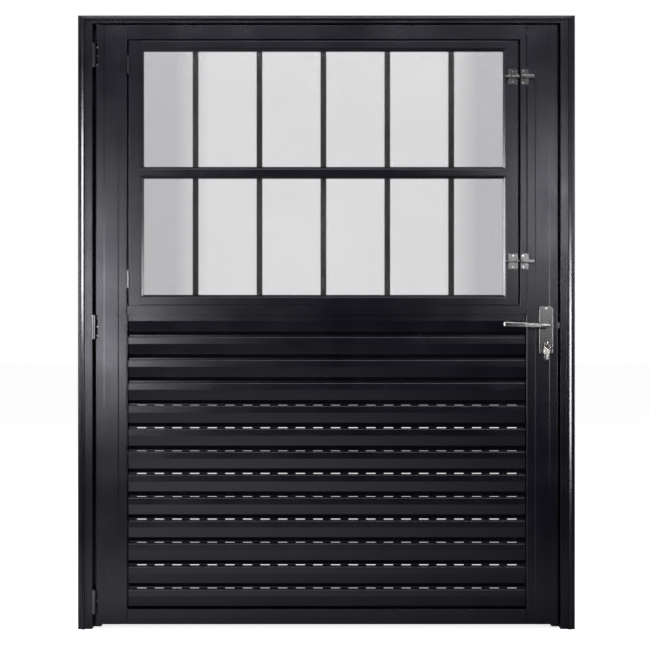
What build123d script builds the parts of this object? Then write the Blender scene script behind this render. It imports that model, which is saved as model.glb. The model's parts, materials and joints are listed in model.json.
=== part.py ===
from build123d import *
from math import ceil
import os

os.makedirs("parts", exist_ok=True)

# Millimetres. X to the right, the room side towards -Y, Z up.
# The origin is on the floor, at the middle of the width and of the leaf's thickness.

# Frame: distances across a jamb are counted inwards from the frame's outer edge
frame_width = 1700
frame_height = 2100
head_ratio = 0.526  # the head's mouldings are this much narrower than the jambs'
casing_width = 29
casing_wall = 1.6
casing_band = 12  # flat outer band of the casing
casing_band_proud = 4  # band in front of the jamb's face
casing_crest_proud = 10  # crest in front of the jamb's face
casing_crest_width = 2
casing_bevel = 8  # bevel between band and crest
casing_groove_proud = 1.6  # floor of the groove inside the crest
casing_lap = 7  # casing over the jamb's face
casing_leg = 6  # legs behind the jamb's face, down to the wall
casing_catch = 1.2  # leg nested in a step of the jamb's corner
casing_ease = 1  # broken outer corner of the casing
reed_starts = (2.4, 8)  # two shallow grooves in the band, from the outer edge
reed_width = 2
reed_depth = 0.35
crest_ease = 0.6  # broken corners of the crest and the groove
jamb_face = 19.5
jamb_front = -20
jamb_depth = 70
jamb_wall = 2.4
jamb_round = 1.5  # front corner at the reveal
stop_width = 24

# Leaf
leaf_thickness = 36
hinge_gap = 10
lock_gap = 7.5
head_gap = 6.5
floor_gap = 16
stile_width = 109
stile_wall = 3
stile_round = 5
stile_inner_round = 4
stile_back_round = 2.5
band_start = 28.5  # raised band on a stile, from the stile's outer edge
band_width = 51.5
band_shoulder = 3
band_relief = 0.8
fin_width = 14
fin_thickness = 2.5
fin_setback = 9  # front of the fins, behind the leaf's mid-plane
top_rail_height = 48
middle_rail_height = 30
middle_rail_bottom = 1077
bottom_rail_height = 51
strip_width = 22
strip_lip = 14
strip_lip_thickness = 2.5
strip_groove = 1.5
strip_round = 3

# Brush seal between the leaf and the stop
seal_gap = 0.3
seal_height = 2.7
seal_width = 5

# Slats: places down a slat are counted from its ledge
slat_pitch = 78.7
slat_wall = 1.5
slat_gap = 0.3  # between one slat's lip and the next one's tail
first_ledge_hidden = 3
ledge_fall = 2.5
slat_end_gap = 3.5  # from a slat's end to the stile
slat_front = 13  # front lip, in front of the leaf's mid-plane
slat_face_end = 25
slat_throat = 6  # foot of the sloping face, in front of the mid-plane
slat_slope_end = 59
slat_under_end = 73
slat_tail_lap = 10
slat_lip = 8
slat_bend = 2
slot_length = 32
slot_height = 2.2
slot_pitch = 60.7
slot_margin = 30
slot_drop = 77.6
slot_sink = 1.8  # every other row sits this much lower, half behind the next slat's lip
first_vented = 3

# Grille behind the vent
bar_count = 5
bar_pitch = 220.4
bar_width = 20
bar_thickness = 6.5
bar_round = 2

# Vent casement
vent_hinge_gap = 5
vent_bolt_gap = 6.5
vent_top_gap = 5.6
vent_bottom_gap = 2.8
vent_depth = 24
vent_stile_width = 41.5
vent_rail_height = 26
vent_bar_height = 23
vent_bar_middle = 1563.5
vent_wall = 1.6
vent_round = 1.5
lip_stile = 9
lip_rail = 8.5
lip_thickness = 3
glass_thickness = 4
glass_play = 1.5
glass_front = 6  # front of the panes, in front of the leaf's mid-plane
bead_depth = 9.5
bead_flat = 0.2  # share of a bead's width before its bevel
bead_edge = 2
mitre_gap = 0.2

# Main hinges
hinge_length = 79
hinge_barrel_radius = 5.6
hinge_pin_radius = 2.5
pin_clearance = 0.08
pin_cap = 1.2
pin_cap_inset = 0.6  # a cap's edge, inside its barrel's
barrel_gap = 0.5  # between a barrel and its plate
hinge_axis_inset = 5  # axis from the jamb's reveal
hinge_axis_proud = 6.6  # axis in front of the leaf
hinge_plate = 2
hinge_plate_back = 8
knuckle_gap = 0.4
bottom_hinge_height = 93.5
middle_hinge_height = 1034.5
top_hinge_drop = 104.5
notch_width = 8
notch_depth = 10
notch_play = 0.5

# Vent hinges
vent_hinge_length = 57
vent_hinge_barrel_radius = 4
vent_hinge_pin_radius = 1.6
vent_hinge_axis_inset = 1.5  # axis from the vent's edge
vent_hinge_axis_proud = 4.6
vent_hinge_plate = 1.6
vent_hinge_plate_back = 4
upper_vent_hinge_drop = 82
lower_vent_hinge_rise = 89

# Sliding bolts
rod_radius = 3
rod_length = 52
rod_play = 0.3
rod_proud = 6.5
rod_rest_tip = 6.5  # withdrawn tip beyond the vent's edge
knob_radius = 2.5
knob_height = 8.5
knob_gap = 1.5  # between the knob and the guide's first loop
rod_chamfer = 1
guide_width = 33
guide_height = 53
guide_plate = 2
guide_corner = 4
guide_inset = 1.5  # from the vent's edge
guide_loop = 5
loop_height = 13
loop_proud = 11
loop_round = 3
keeper_width = 26
keeper_inset = 3
tunnel_start = 6.5  # from the closing strip's edge
tunnel_length = 41
tunnel_bore = 25
upper_bolt_drop = 123.4
lower_bolt_rise = 149.2

# Lock
lever_height = 1039
backset = 42.7
cylinder_drop = 61.5
plate_width = 47.5
plate_top = 65.7  # escutcheon above the lever's axis
plate_bottom = 98
plate_thickness = 8
plate_corner = 6
plate_screw_margin = 6.7  # from the escutcheon's ends
plate_round = 2.6
neck_radius = 7
neck_play = 0.3
collar_radius = 11
collar_height = 1.5
arm_gap = 35  # between the escutcheon and the back of the lever's arm
arm_depth = 11
arm_height = 15
arm_length = 151.3
arm_bow = 3
arm_rise = 5
arm_round = 2
root_radius = 7.8  # round root of the arm
root_back = 5.5  # behind the lever's axis
root_length = 60
root_taper = 18
root_end = 4.5
root_lean = 2
spindle_size = 8
spindle_play = 0.1
spindle_length = 116
case_height = 170
case_below_cylinder = 42.5
case_depth = 64
case_thickness = 15
case_wall = 1.5
faceplate_width = 20
faceplate_height = 190
faceplate_thickness = 2
fit_play = 0.3
cylinder_radius = 8.5
cylinder_tail = 24.5
cylinder_tail_width = 10
cylinder_proud = 3
plug_radius = 6.75
keyway_width = 2.6
keyway_height = 8.4
keyway_depth = 24
bolt_thickness = 11
latch_height = 18
latch_length = 35
latch_reach = 6.5
dead_bolt_height = 20
dead_bolt_length = 32
dead_bolt_chamfer = 0.8
dead_bolt_rise = 24.5  # above the cylinder's axis
strike_height = 137
strike_drop = 94  # lower end below the lever's axis
strike_width = 24
strike_thickness = 1.5
pocket_play = 2

# Key, ring and spare key
key_thickness = 2.2
key_bow_radius = 11
key_hole_radius = 3
key_hole_margin = 5
key_blade_width = 7.6
key_blade_inside = 23
key_cut_pitch = 4
key_cut_width = 1.8
key_cut_depth = 1.2
key_cut_count = 4
key_tip = 3  # from the blade's end to its first cut
key_bow_gap = 3  # between the cylinder and the bow
spare_blade = 16
ring_radius = 9
ring_wire = 0.9
ring_rest = 1.2  # wire below or above the middle of a key's hole
spare_turn = 45  # degrees, about the upright, so that the spare key half faces the room

# Screws
screw_radius = 1.9
screw_head = 4
screw_head_height = 1.7
screw_length = 9
screw_play = 0.15
small_screw_radius = 1.3
small_screw_head = 2.6
small_screw_head_height = 1.3
small_screw_length = 6
screw_margin = 9  # from the ends of a main hinge's plate
small_screw_margin = 7

# Holes for the wall fixings
fixing_radius = 4
fixing_depth = 0  # behind the leaf's mid-plane
fixing_heights = (250, 700, 1400, 1850)

# Worked out from the sizes above
frame_edge = frame_width / 2
reveal = frame_edge - casing_width - jamb_face
head_reveal = frame_height - head_ratio * (casing_width + jamb_face)
leaf_front = -leaf_thickness / 2
leaf_back = leaf_thickness / 2
stop_front = leaf_back + seal_gap + seal_height
jamb_back = jamb_front + jamb_depth
leaf_left = -reveal + hinge_gap
leaf_right = reveal - lock_gap
leaf_top = head_reveal - head_gap
leaf_bottom = floor_gap
leaf_height = leaf_top - leaf_bottom
inner_left = leaf_left + stile_width
inner_right = leaf_right - stile_width
inner_width = inner_right - inner_left
bottom_rail_top = leaf_bottom + bottom_rail_height
middle_rail_top = middle_rail_bottom + middle_rail_height
top_rail_bottom = leaf_top - top_rail_height
fin_back = fin_setback + fin_thickness
strip_left = inner_right - strip_width

vent_left = inner_left + vent_hinge_gap
vent_right = strip_left - vent_bolt_gap
vent_bottom = middle_rail_top + vent_bottom_gap
vent_top = top_rail_bottom - vent_top_gap
vent_back = leaf_front + vent_depth
pane_left = vent_left + vent_stile_width
pane_right = vent_right - vent_stile_width
bar_low = vent_bar_middle - vent_bar_height / 2
bar_high = vent_bar_middle + vent_bar_height / 2
lower_pane = (vent_bottom + vent_rail_height, bar_low)
upper_pane = (bar_high, vent_top - vent_rail_height)
glass_back = glass_thickness - glass_front

lever_x = leaf_right - backset
cylinder_height = lever_height - cylinder_drop
escutcheon_front = leaf_front - plate_thickness
cylinder_front = leaf_front - plate_thickness - cylinder_proud
bolt_axis_y = leaf_front - rod_proud


def block(x, y, z, mode=Mode.ADD):
    """A rectangular block between the limits given for each axis."""
    with Locations(((x[0] + x[1]) / 2, (y[0] + y[1]) / 2, (z[0] + z[1]) / 2)):
        Box(x[1] - x[0], y[1] - y[0], z[1] - z[0], mode=mode)


def bar(plane, outline, length, hollow=None, rounds=()):
    """A straight profile, hollow where an inner outline is given, with some corners rounded."""
    with BuildPart() as profile:
        with BuildSketch(plane) as section:
            with BuildLine():
                Polyline(*outline, close=True)
            make_face()
            for corner, radius in rounds:
                fillet(section.vertices().sort_by_distance(corner)[0], radius=radius)
            if hollow:
                with BuildLine():
                    Polyline(*hollow, close=True)
                make_face(mode=Mode.SUBTRACT)
        extrude(amount=length)
    return profile.part


def screw_shapes(places, grow, small, mode):
    """Countersunk screws, or their holes, whose heads are flush with each plane in places."""
    shank = (small_screw_radius if small else screw_radius) + grow
    head = (small_screw_head if small else screw_head) + grow
    head_height = small_screw_head_height if small else screw_head_height
    length = (small_screw_length if small else screw_length) + grow
    top = (Align.CENTER, Align.CENTER, Align.MAX)
    with Locations(*places):
        Cone(shank, head, head_height, align=top, mode=mode)
        Cylinder(shank, length, align=top, mode=mode)


def screws(places, small=False):
    screw_shapes(places, 0, small, Mode.ADD)


def screw_holes(places, small=False):
    screw_shapes(places, screw_play, small, Mode.SUBTRACT)


def facing(direction, points):
    """Planes at the points whose normals all point the same way."""
    return [Plane(origin=point, z_dir=direction) for point in points]


# Casing and jamb sections, as points (distance from the frame's outer edge, depth)
lap_start = casing_width - casing_lap
wall_plane = jamb_front + casing_leg
band_front = jamb_front - casing_band_proud
crest_front = jamb_front - casing_crest_proud
crest_start = casing_band + casing_bevel
crest_end = crest_start + casing_crest_width
groove_front = jamb_front - casing_groove_proud
casing_section = [
    (0, wall_plane),
    (0, band_front + casing_ease),
    (casing_ease, band_front),
    *[
        (start + part * reed_width / 2, band_front + (part % 2) * reed_depth)
        for start in reed_starts
        for part in range(3)
    ],
    (casing_band, band_front),
    (crest_start - casing_ease, crest_front + crest_ease),
    (crest_start, crest_front),
    (crest_end - crest_ease, crest_front),
    (crest_end, crest_front + crest_ease),
    (crest_end + casing_ease, groove_front),
    (casing_width - crest_ease, groove_front),
    (casing_width, groove_front + crest_ease),
    (casing_width, jamb_front),
    (lap_start + casing_catch, jamb_front),
    (lap_start + casing_catch, wall_plane),
]
casing_hollow = [
    (casing_wall, wall_plane),
    (casing_wall, band_front + casing_wall),
    (casing_band, band_front + casing_wall),
    (lap_start - casing_wall, crest_front + 2 * casing_wall),
    (lap_start - casing_wall, wall_plane),
]
jamb_width = casing_width + jamb_face
jamb_section = [
    (lap_start + casing_catch, jamb_front),
    (jamb_width, jamb_front),
    (jamb_width, stop_front),
    (jamb_width + stop_width, stop_front),
    (jamb_width + stop_width, jamb_back),
    (lap_start, jamb_back),
    (lap_start, wall_plane),
    (lap_start + casing_catch, wall_plane),
]
jamb_hollow = [
    (lap_start + jamb_wall, jamb_front + jamb_wall),
    (jamb_width - jamb_wall, jamb_front + jamb_wall),
    (jamb_width - jamb_wall, stop_front + jamb_wall),
    (jamb_width + stop_width - jamb_wall, stop_front + jamb_wall),
    (jamb_width + stop_width - jamb_wall, jamb_back - jamb_wall),
    (lap_start + jamb_wall, jamb_back - jamb_wall),
]
head_hollow = [
    (lap_start + jamb_wall / head_ratio, jamb_front + jamb_wall),
    (jamb_width - jamb_wall / head_ratio, jamb_front + jamb_wall),
    (jamb_width - jamb_wall / head_ratio, stop_front + jamb_wall),
    (jamb_width + stop_width - jamb_wall / head_ratio, stop_front + jamb_wall),
    (jamb_width + stop_width - jamb_wall / head_ratio, jamb_back - jamb_wall),
    (lap_start + jamb_wall / head_ratio, jamb_back - jamb_wall),
]
jamb_rounds = [((jamb_width, jamb_front), jamb_round)]
mitres = {
    side: Plane(origin=(side * frame_edge, 0, frame_height), z_dir=(-side * head_ratio, 0, 1))
    for side in (-1, 1)
}


def upright(section, side):
    return [(side * (frame_edge - across), depth) for across, depth in section]


def level(section):
    return [(depth, frame_height - head_ratio * across) for across, depth in section]


def mitred_upright(section, hollow, side, rounds=()):
    """A profile that stands on the floor and is mitred at the head."""
    corners = [((*upright([point], side)[0], 0), radius) for point, radius in rounds]
    profile = bar(Plane.XY, upright(section, side), frame_height, upright(hollow, side), corners)
    return split(profile, bisect_by=mitres[side], keep=Keep.BOTTOM)


def mitred_level(section, hollow, rounds=()):
    """A profile along the head, mitred at both ends."""
    corners = [((-frame_edge, *level([point])[0]), radius) for point, radius in rounds]
    profile = bar(Plane.YZ.offset(-frame_edge), level(section), frame_width, level(hollow), corners)
    for side in (-1, 1):
        profile = split(profile, bisect_by=mitres[side], keep=Keep.TOP)
    return profile


# Where the main hinges sit
hinge_axis_x = -reveal + hinge_axis_inset
hinge_axis_y = leaf_front - hinge_axis_proud
hinge_plate_front = hinge_axis_y + hinge_barrel_radius + barrel_gap
hinge_heights = {
    "bottom": bottom_hinge_height,
    "middle": middle_hinge_height,
    "top": leaf_top - top_hinge_drop,
}
plate_middle = (hinge_plate_front + hinge_plate_back) / 2
hinge_screw_rows = (-hinge_length / 2 + screw_margin, 0, hinge_length / 2 - screw_margin)
frame_plate_face = -reveal + hinge_plate
door_plate_face = leaf_left - hinge_plate
hinge_screw_heights = [z + row for z in hinge_heights.values() for row in hinge_screw_rows]
frame_hinge_screws = facing((1, 0, 0), [(frame_plate_face, plate_middle, z) for z in hinge_screw_heights])
door_hinge_screws = facing((-1, 0, 0), [(door_plate_face, plate_middle, z) for z in hinge_screw_heights])

# Strike plate
strike_bottom = lever_height - strike_drop
strike_top = strike_bottom + strike_height
strike_screws = facing(
    (-1, 0, 0),
    [(reveal, 0, strike_bottom + small_screw_margin), (reveal, 0, strike_top - small_screw_margin)],
)
dead_bolt_height_middle = cylinder_height + dead_bolt_rise
latch_pocket = (
    lever_height - latch_height / 2 - pocket_play,
    lever_height + latch_height / 2 + pocket_play,
)
dead_bolt_pocket = (
    dead_bolt_height_middle - dead_bolt_height / 2 - pocket_play,
    dead_bolt_height_middle + dead_bolt_height / 2 + pocket_play,
)
pocket_half = bolt_thickness / 2 + pocket_play


def strike_pockets(x):
    """Openings for the latch and the dead bolt, between two places across the jamb."""
    for pocket in (latch_pocket, dead_bolt_pocket):
        block(x, (-pocket_half, pocket_half), pocket, mode=Mode.SUBTRACT)


def fixing_holes(side):
    """Holes for the wall fixings, straight through both walls of a jamb."""
    middle = side * (reveal + (frame_edge - lap_start - reveal) / 2)
    with Locations(*[(middle, fixing_depth, z) for z in fixing_heights]):
        Cylinder(fixing_radius, jamb_width, rotation=(0, 90, 0), mode=Mode.SUBTRACT)


# Jambs, head and casings
with BuildPart() as jamb_hinge_side:
    add(mitred_upright(jamb_section, jamb_hollow, -1, jamb_rounds))
    fixing_holes(-1)
    screw_holes(frame_hinge_screws)
jamb_hinge_side.part.label = "jamb_hinge_side"
export_step(jamb_hinge_side.part, "parts/jamb_hinge_side.step")

with BuildPart() as jamb_lock_side:
    add(mitred_upright(jamb_section, jamb_hollow, 1, jamb_rounds))
    fixing_holes(1)
    block(
        (reveal, reveal + strike_thickness),
        (-strike_width / 2 - screw_play, strike_width / 2 + screw_play),
        (strike_bottom - screw_play, strike_top + screw_play),
        mode=Mode.SUBTRACT,
    )
    strike_pockets((reveal, reveal + jamb_wall + 1))
    screw_holes(strike_screws, small=True)
jamb_lock_side.part.label = "jamb_lock_side"
export_step(jamb_lock_side.part, "parts/jamb_lock_side.step")

with BuildPart() as head_jamb:
    add(mitred_level(jamb_section, head_hollow, jamb_rounds))
head_jamb.part.label = "head_jamb"
export_step(head_jamb.part, "parts/head_jamb.step")

for name, side in (("casing_left", -1), ("casing_right", 1)):
    with BuildPart() as casing:
        add(mitred_upright(casing_section, casing_hollow, side))
    casing.part.label = name
    export_step(casing.part, f"parts/{name}.step")

with BuildPart() as casing_top:
    add(mitred_level(casing_section, casing_hollow))
casing_top.part.label = "casing_top"
export_step(casing_top.part, "parts/casing_top.step")

# Brush seals, on the front of the stop where the leaf's back overlaps it
stop_edge = reveal - stop_width
stop_head = head_reveal - head_ratio * stop_width
head_seal_middle = (stop_head + leaf_top) / 2
head_seal_half = (leaf_top - stop_head) / 4
seal_depth = (stop_front - seal_height, stop_front)
with BuildPart() as brush_seals:
    for side in (-1, 1):
        across = sorted((side * (stop_edge + seal_width), side * (stop_edge + 2 * seal_width)))
        block(across, seal_depth, (0, stop_head - seal_width))
    block(
        (-stop_edge, stop_edge),
        seal_depth,
        (head_seal_middle - head_seal_half, head_seal_middle + head_seal_half),
    )
brush_seals.part.label = "brush_seals"
export_step(brush_seals.part, "parts/brush_seals.step")

with BuildPart() as strike_plate:
    block(
        (reveal, reveal + strike_thickness),
        (-strike_width / 2, strike_width / 2),
        (strike_bottom, strike_top),
    )
    strike_pockets((reveal - 1, reveal + strike_thickness + 1))
    screw_holes(strike_screws, small=True)
strike_plate.part.label = "strike_plate"
export_step(strike_plate.part, "parts/strike_plate.step")

with BuildPart() as frame_screws:
    screws(frame_hinge_screws)
    screws(strike_screws, small=True)
frame_screws.part.label = "frame_screws"
export_step(frame_screws.part, "parts/frame_screws.step")


def knuckle_span(length, count, index):
    """Lowest and highest point of one knuckle, from the middle of its barrel."""
    knuckle = (length - (count - 1) * knuckle_gap) / count
    low = -length / 2 + index * (knuckle + knuckle_gap)
    return low, low + knuckle


def hinge_leaf(axis, middle, length, count, own, barrel, pin, plate_x, plate_y):
    """A plate and its own knuckles, bored for the pin. plate_x and plate_y are the plate's limits."""
    with BuildPart() as leaf:
        block(plate_x, plate_y, (middle - length / 2, middle + length / 2))
        for index in own:
            low, high = knuckle_span(length, count, index)
            with Locations((*axis, middle + (low + high) / 2)):
                Cylinder(barrel, high - low)
            block(plate_x, (axis[1], plate_y[0]), (middle + low, middle + high))
        with Locations((*axis, middle)):
            Cylinder(pin + pin_clearance, length + 2, mode=Mode.SUBTRACT)
    return leaf.part


def hinge_pin(axis, middle, length, barrel, pin):
    """A pin with a round cap at each end of its barrel."""
    with Locations((*axis, middle)):
        Cylinder(pin, length + 2 * knuckle_gap)
    for end in (-1, 1):
        with Locations((*axis, middle + end * (length / 2 + knuckle_gap + pin_cap / 2))):
            Cylinder(barrel - pin_cap_inset, pin_cap)


main_axis = (hinge_axis_x, hinge_axis_y)
main_plate_y = (hinge_plate_front, hinge_plate_back)
for place, height in hinge_heights.items():
    with BuildPart() as frame_leaf:
        add(
            hinge_leaf(
                main_axis, height, hinge_length, 5, (0, 2, 4), hinge_barrel_radius, hinge_pin_radius,
                (-reveal, frame_plate_face), main_plate_y,
            )
        )
        screw_holes(frame_hinge_screws)
    frame_leaf.part.label = f"hinge_{place}_frame_leaf"
    export_step(frame_leaf.part, f"parts/hinge_{place}_frame_leaf.step")
    with BuildPart() as door_leaf:
        add(
            hinge_leaf(
                main_axis, height, hinge_length, 5, (1, 3), hinge_barrel_radius, hinge_pin_radius,
                (door_plate_face, leaf_left), main_plate_y,
            )
        )
        screw_holes(door_hinge_screws)
    door_leaf.part.label = f"hinge_{place}_door_leaf"
    export_step(door_leaf.part, f"parts/hinge_{place}_door_leaf.step")

with BuildPart() as hinge_pins:
    for height in hinge_heights.values():
        hinge_pin(main_axis, height, hinge_length, hinge_barrel_radius, hinge_pin_radius)
hinge_pins.part.label = "hinge_pins"
export_step(hinge_pins.part, "parts/hinge_pins.step")

# Where the vent's hinges, bolts and keepers sit
vent_axis = (vent_left - vent_hinge_axis_inset, leaf_front - vent_hinge_axis_proud)
vent_hinge_heights = {
    "upper": vent_top - upper_vent_hinge_drop,
    "lower": vent_bottom + lower_vent_hinge_rise,
}
vent_plate_y = (leaf_front, vent_hinge_plate_back)
vent_plate_middle = (leaf_front + vent_hinge_plate_back) / 2
vent_rows = (-vent_hinge_length / 2 + small_screw_margin, vent_hinge_length / 2 - small_screw_margin)
fixed_plate_face = inner_left + vent_hinge_plate
moving_plate_face = vent_left - vent_hinge_plate
vent_screw_heights = [z + row for z in vent_hinge_heights.values() for row in vent_rows]
fixed_vent_screws = facing((1, 0, 0), [(fixed_plate_face, vent_plate_middle, z) for z in vent_screw_heights])
moving_vent_screws = facing(
    (-1, 0, 0),
    [(moving_plate_face, vent_plate_middle, z) for z in vent_screw_heights],
)
slide_heights = {"upper": vent_top - upper_bolt_drop, "lower": vent_bottom + lower_bolt_rise}
guide_right = vent_right - guide_inset
guide_left = guide_right - guide_width
guide_front = leaf_front - guide_plate
guide_screw_rise = guide_height / 2 - small_screw_margin
guide_middle = (guide_left + guide_right) / 2
guide_screw_heights = [z + end * guide_screw_rise for z in slide_heights.values() for end in (-1, 1)]
guide_screws = facing((0, -1, 0), [(guide_middle, guide_front, z) for z in guide_screw_heights])
keeper_left = strip_left + keeper_inset
keeper_right = keeper_left + keeper_width
keeper_screw_x = keeper_left + small_screw_margin
keeper_screws = facing((0, -1, 0), [(keeper_screw_x, guide_front, z) for z in guide_screw_heights])

# Lock places
faceplate_middle = (latch_pocket[1] + dead_bolt_pocket[0]) / 2
case_low = cylinder_height - case_below_cylinder
case_right = leaf_right - faceplate_thickness
case_left = case_right - case_depth
edge_screw_rise = faceplate_height / 2 - small_screw_margin
edge_screws = facing(
    (1, 0, 0),
    [(leaf_right, 0, faceplate_middle + end * edge_screw_rise) for end in (-1, 1)],
)
escutcheon_low = lever_height - plate_bottom
escutcheon_high = lever_height + plate_top
escutcheon_screws = facing(
    (0, -1, 0),
    [
        (lever_x, escutcheon_front, escutcheon_low + plate_screw_margin),
        (lever_x, escutcheon_front, escutcheon_high - plate_screw_margin),
    ],
)
outside_screws = facing(
    (0, 1, 0),
    [
        (lever_x, -escutcheon_front, escutcheon_low + plate_screw_margin),
        (lever_x, -escutcheon_front, escutcheon_high - plate_screw_margin),
    ],
)


def euro_hole(y, grow):
    """Cuts the euro cylinder's outline, grown all round, between two depths."""
    with BuildSketch(Plane.XZ.offset(-y[1])) as outline:
        euro_outline(grow)
    extrude(outline.sketch, amount=y[1] - y[0], mode=Mode.SUBTRACT)


def euro_outline(grow):
    with Locations((lever_x, cylinder_height)):
        Circle(cylinder_radius + grow)
    tail_end = cylinder_height - cylinder_tail + cylinder_tail_width / 2
    with Locations((lever_x, (cylinder_height + tail_end) / 2)):
        Rectangle(cylinder_tail_width + 2 * grow, cylinder_height - tail_end)
    with Locations((lever_x, tail_end)):
        Circle(cylinder_tail_width / 2 + grow)


# Stiles, counted inwards from the leaf's outer edge
face_low = leaf_front + band_relief
stile_section = [
    (0, face_low),
    (band_start, face_low),
    (band_start + band_shoulder, leaf_front),
    (band_start + band_shoulder + band_width - 2 * band_shoulder, leaf_front),
    (band_start + band_width, face_low),
    (stile_width, face_low),
    (stile_width, leaf_back),
    (0, leaf_back),
]
stile_hollow = [
    (stile_wall, face_low + stile_wall),
    (stile_width - stile_wall, face_low + stile_wall),
    (stile_width - stile_wall, leaf_back - stile_wall),
    (stile_wall, leaf_back - stile_wall),
]


def stile(edge, inward):
    """One hollow stile, from its outer edge inwards, with a fin beside each opening of the leaf."""

    def placed(points):
        return [(edge + inward * across, depth) for across, depth in points]

    rounds = [
        ((edge, face_low, 0), stile_round),
        ((edge + inward * stile_width, face_low, 0), stile_inner_round),
        ((edge, leaf_back, 0), stile_back_round),
    ]
    fin_x = sorted((edge + inward * stile_width, edge + inward * (stile_width + fin_width)))
    with BuildPart() as body:
        foot = Plane.XY.offset(leaf_bottom)
        add(bar(foot, placed(stile_section), leaf_height, placed(stile_hollow), rounds))
        for opening in ((bottom_rail_top, middle_rail_bottom), (middle_rail_top, top_rail_bottom)):
            block(fin_x, (fin_setback, fin_back), opening)
    return body.part


with BuildPart() as stile_hinge_side:
    add(stile(leaf_left, 1))
    for height in hinge_heights.values():
        half = hinge_length / 2 + notch_play
        block(
            (leaf_left - 1, leaf_left + notch_width),
            (leaf_front - 1, leaf_front + notch_depth),
            (height - half, height + half),
            mode=Mode.SUBTRACT,
        )
    screw_holes(door_hinge_screws)
    screw_holes(fixed_vent_screws, small=True)
stile_hinge_side.part.label = "stile_hinge_side"
export_step(stile_hinge_side.part, "parts/stile_hinge_side.step")

with BuildPart() as stile_lock_side:
    add(stile(leaf_right, -1))
    with BuildSketch(Plane.YZ.offset(leaf_right)):
        with Locations((0, faceplate_middle)):
            SlotOverall(faceplate_height + 2 * screw_play, faceplate_width + 2 * screw_play, rotation=90)
    extrude(amount=-faceplate_thickness, mode=Mode.SUBTRACT)
    block(
        (case_right - stile_wall, case_right),
        (-case_thickness / 2 - fit_play, case_thickness / 2 + fit_play),
        (case_low - fit_play, case_low + case_height + fit_play),
        mode=Mode.SUBTRACT,
    )
    euro_hole((leaf_front - 1, leaf_back + 1), fit_play)
    with Locations((lever_x, 0, lever_height)):
        Cylinder(neck_radius + fit_play, leaf_thickness + 2, rotation=(90, 0, 0), mode=Mode.SUBTRACT)
    screw_holes(edge_screws, small=True)
    screw_holes(escutcheon_screws + outside_screws)
stile_lock_side.part.label = "stile_lock_side"
export_step(stile_lock_side.part, "parts/stile_lock_side.step")


# Rails between the stiles
def rail(low, high, fin_side):
    """One hollow rail, with a fin on its upper (1) or lower (-1) side, or none (0)."""
    outline = [(leaf_front, low), (leaf_back, low), (leaf_back, high), (leaf_front, high)]
    hollow = [
        (leaf_front + stile_wall, low + stile_wall),
        (leaf_back - stile_wall, low + stile_wall),
        (leaf_back - stile_wall, high - stile_wall),
        (leaf_front + stile_wall, high - stile_wall),
    ]
    with BuildPart() as body:
        add(bar(Plane.YZ.offset(inner_left), outline, inner_width, hollow))
        if fin_side:
            edge = high if fin_side > 0 else low
            block(
                (inner_left + fin_width, inner_right - fin_width),
                (fin_setback, fin_back),
                sorted((edge, edge + fin_side * fin_width)),
            )
    return body.part


rails = {
    "rail_top": (top_rail_bottom, leaf_top, -1),
    "rail_middle": (middle_rail_bottom, middle_rail_top, 1),
    "rail_bottom": (leaf_bottom, bottom_rail_top, 0),
}
for name, (low, high, fin_side) in rails.items():
    with BuildPart() as leaf_rail:
        add(rail(low, high, fin_side))
    leaf_rail.part.label = name
    export_step(leaf_rail.part, f"parts/{name}.step")

# The post that the vent shuts beside, with a lip behind the vent and a groove beside the stile
strip_outline = [
    (strip_left, leaf_front),
    (inner_right - strip_groove, leaf_front),
    (inner_right - strip_groove, leaf_front + 2 * strip_groove),
    (inner_right, leaf_front + 2 * strip_groove),
    (inner_right, fin_setback),
    (strip_left - strip_lip, fin_setback),
    (strip_left - strip_lip, fin_setback - strip_lip_thickness),
    (strip_left, fin_setback - strip_lip_thickness),
]
strip_hollow = [
    (strip_left + vent_wall, leaf_front + 2 * strip_groove + vent_wall),
    (inner_right - vent_wall, leaf_front + 2 * strip_groove + vent_wall),
    (inner_right - vent_wall, fin_setback - vent_wall),
    (strip_left + vent_wall, fin_setback - vent_wall),
]
opening_height = top_rail_bottom - middle_rail_top
with BuildPart() as closing_strip:
    foot = Plane.XY.offset(middle_rail_top)
    rounds = [((strip_left, leaf_front, 0), strip_round)]
    add(bar(foot, strip_outline, opening_height, strip_hollow, rounds))
    screw_holes(keeper_screws, small=True)
closing_strip.part.label = "closing_strip"
export_step(closing_strip.part, "parts/closing_strip.step")

# Slats
louvre_height = middle_rail_bottom - bottom_rail_top
slat_count = ceil(louvre_height / slat_pitch)
slot_count = int((inner_width - slot_margin) / slot_pitch)
slat_middle_x = (inner_left + inner_right) / 2
tail_front = fin_setback - slat_wall
lip_back = tail_front - slat_gap


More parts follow.
